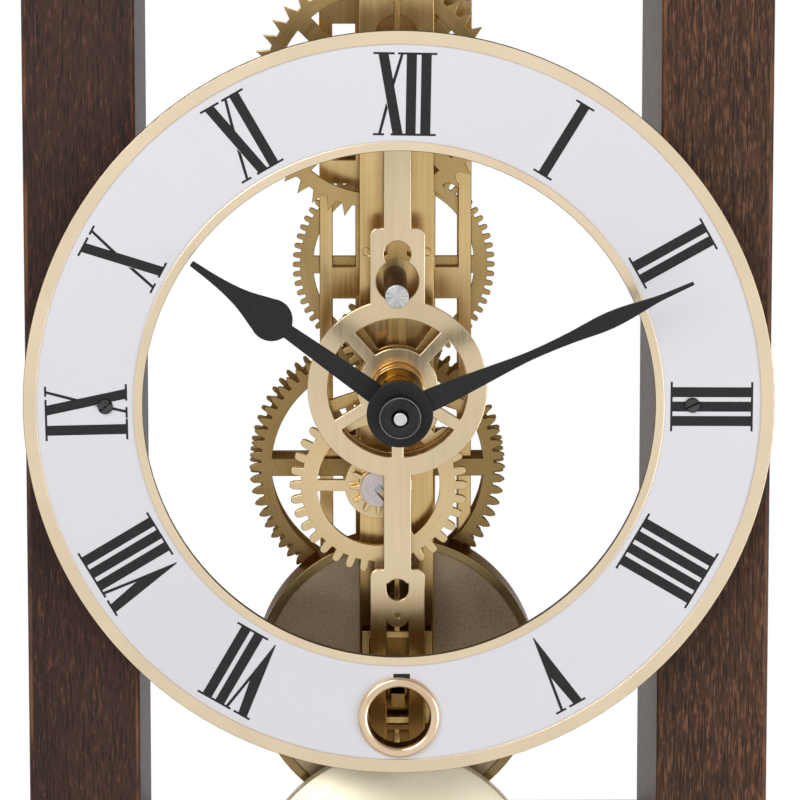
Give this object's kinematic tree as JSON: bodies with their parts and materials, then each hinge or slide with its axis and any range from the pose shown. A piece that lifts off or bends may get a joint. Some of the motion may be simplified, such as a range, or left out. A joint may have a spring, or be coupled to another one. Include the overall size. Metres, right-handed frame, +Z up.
{
  "type": "skeleton pendulum wall clock",
  "caption": "Skeleton wall clock: walnut rails, open brass gear train, silver Roman chapter ring with gold bands, black leaf hands, winding grommet, swinging pendulum with sliding bob.",
  "frame": {"origin": "middle of the hanging hole, on the wall plane", "axes": "+Z up, +X to the right as seen from the room, -Y from the wall towards the room"},
  "size_m": [0.18, 0.108, 0.46],
  "materials": {
    "walnut": "dark satin walnut veneer",
    "brass": "polished brass",
    "pale_brass": "brushed pale brass",
    "steel": "polished steel",
    "dark_steel": "brushed dark steel",
    "silver": "silvered matt dial",
    "black": "matt black paint"
  },
  "bodies": {
    "frame": {"left_rail": "walnut", "right_rail": "walnut", "top_crosspiece": "walnut", "bottom_crosspiece": "walnut", "upper_back_bar": "walnut", "lower_back_bar": "walnut", "hanger_plate": "steel", "dial_plate": "silver", "outer_bezel": "pale_brass", "inner_bezel": "pale_brass", "winding_grommet": "pale_brass", "dial_screws": "dark_steel", "dial_posts": "brass", "front_plate": "brass", "middle_plate": "brass", "rear_plate": "brass", "pillars": "brass", "movement_screws": "steel", "bridge": "pale_brass", "bridge_posts": "brass", "hub_bush": "brass", "suspension_cock": "brass", "click_spring": "steel"},
    "third": {"third_arbor": "steel", "third_wheel": "brass"},
    "minute": {"minute_hand": "black", "minute_collet": "black", "hand_nut": "black", "centre_arbor": "steel", "cannon_pinion": "brass"},
    "hour": {"hour_hand": "black", "hour_collet": "black", "hour_wheel": "brass"},
    "drive": {"drive_arbor": "steel", "drive_wheel_front": "brass", "drive_wheel_rear": "brass", "motion_wheel": "brass", "friction_washer": "steel"},
    "barrel": {"barrel_drum": "brass", "barrel_cover": "dark_steel", "great_wheel": "brass", "mainspring": "steel"},
    "winding": {"winding_arbor": "brass", "ratchet_wheel": "steel"},
    "click": {"click": "steel"},
    "second": {"second_arbor": "steel", "second_wheel": "brass"},
    "fourth": {"fourth_arbor": "steel", "fourth_wheel": "brass"},
    "escape": {"escape_arbor": "steel", "escape_wheel": "brass"},
    "anchor": {"anchor": "steel", "anchor_arbor": "steel", "crutch": "brass"},
    "pendulum": {"suspension_spring": "steel", "pendulum_rod": "brass", "stirrup": "brass"},
    "bob": {"bob": "pale_brass", "rating_nut": "brass"}
  },
  "joints": [
    {"name": "third_turn", "type": "hinge", "parent": "frame", "child": "third", "pos_m": [-0.0004, 0, -0.1398], "axis": [0, -1, 0], "continuous": true},
    {"name": "minute_turn", "type": "hinge", "parent": "frame", "child": "minute", "pos_m": [0, 0, -0.165], "axis": [0, -1, 0], "continuous": true},
    {"name": "hour_turn", "type": "hinge", "parent": "frame", "child": "hour", "pos_m": [0, 0, -0.165], "axis": [0, -1, 0], "continuous": true},
    {"name": "drive_turn", "type": "hinge", "parent": "frame", "child": "drive", "pos_m": [-0.0046, 0, -0.1905], "axis": [0, -1, 0], "continuous": true},
    {"name": "barrel_turn", "type": "hinge", "parent": "frame", "child": "barrel", "pos_m": [0, 0, -0.2412], "axis": [0, -1, 0], "continuous": true},
    {"name": "second_turn", "type": "hinge", "parent": "frame", "child": "second", "pos_m": [-0.00172, 0, -0.15574], "axis": [0, -1, 0], "continuous": true},
    {"name": "fourth_turn", "type": "hinge", "parent": "frame", "child": "fourth", "pos_m": [-0.00347, 0, -0.11152], "axis": [0, -1, 0], "continuous": true},
    {"name": "escape_turn", "type": "hinge", "parent": "frame", "child": "escape", "pos_m": [-0.00525, 0, -0.0952], "axis": [0, -1, 0], "continuous": true},
    {"name": "winding_turn", "type": "hinge", "parent": "frame", "child": "winding", "pos_m": [0, 0, -0.2412], "axis": [0, -1, 0], "continuous": true},
    {"name": "click_lift", "type": "hinge", "parent": "frame", "child": "click", "pos_m": [0.0145, 0, -0.2317], "axis": [0, -1, 0], "range_deg": [-8, 0]},
    {"name": "pendulum_swing", "type": "hinge", "parent": "frame", "child": "pendulum", "pos_m": [0, 0, -0.045], "axis": [0, -1, 0], "range_deg": [-1, 1]},
    {"name": "anchor_rock", "type": "hinge", "parent": "frame", "child": "anchor", "pos_m": [0, 0, -0.045], "axis": [0, -1, 0], "range_deg": [-1, 1]},
    {"name": "bob_slide", "type": "slide", "parent": "pendulum", "child": "bob", "axis": [0, 0, 1], "range_m": [-0.003, 0.0015]}
  ],
  "couplings": [
    {"joint": "second_turn", "follows": "third_turn", "ratio": -0.4},
    {"joint": "drive_turn", "follows": "third_turn", "ratio": 0.05},
    {"joint": "barrel_turn", "follows": "third_turn", "ratio": -0.08},
    {"joint": "minute_turn", "follows": "third_turn", "ratio": -0.2},
    {"joint": "hour_turn", "follows": "third_turn", "ratio": -0.016667},
    {"joint": "fourth_turn", "follows": "third_turn", "ratio": -6.4},
    {"joint": "escape_turn", "follows": "third_turn", "ratio": 16},
    {"joint": "anchor_rock", "follows": "pendulum_swing", "ratio": 1}
  ]
}
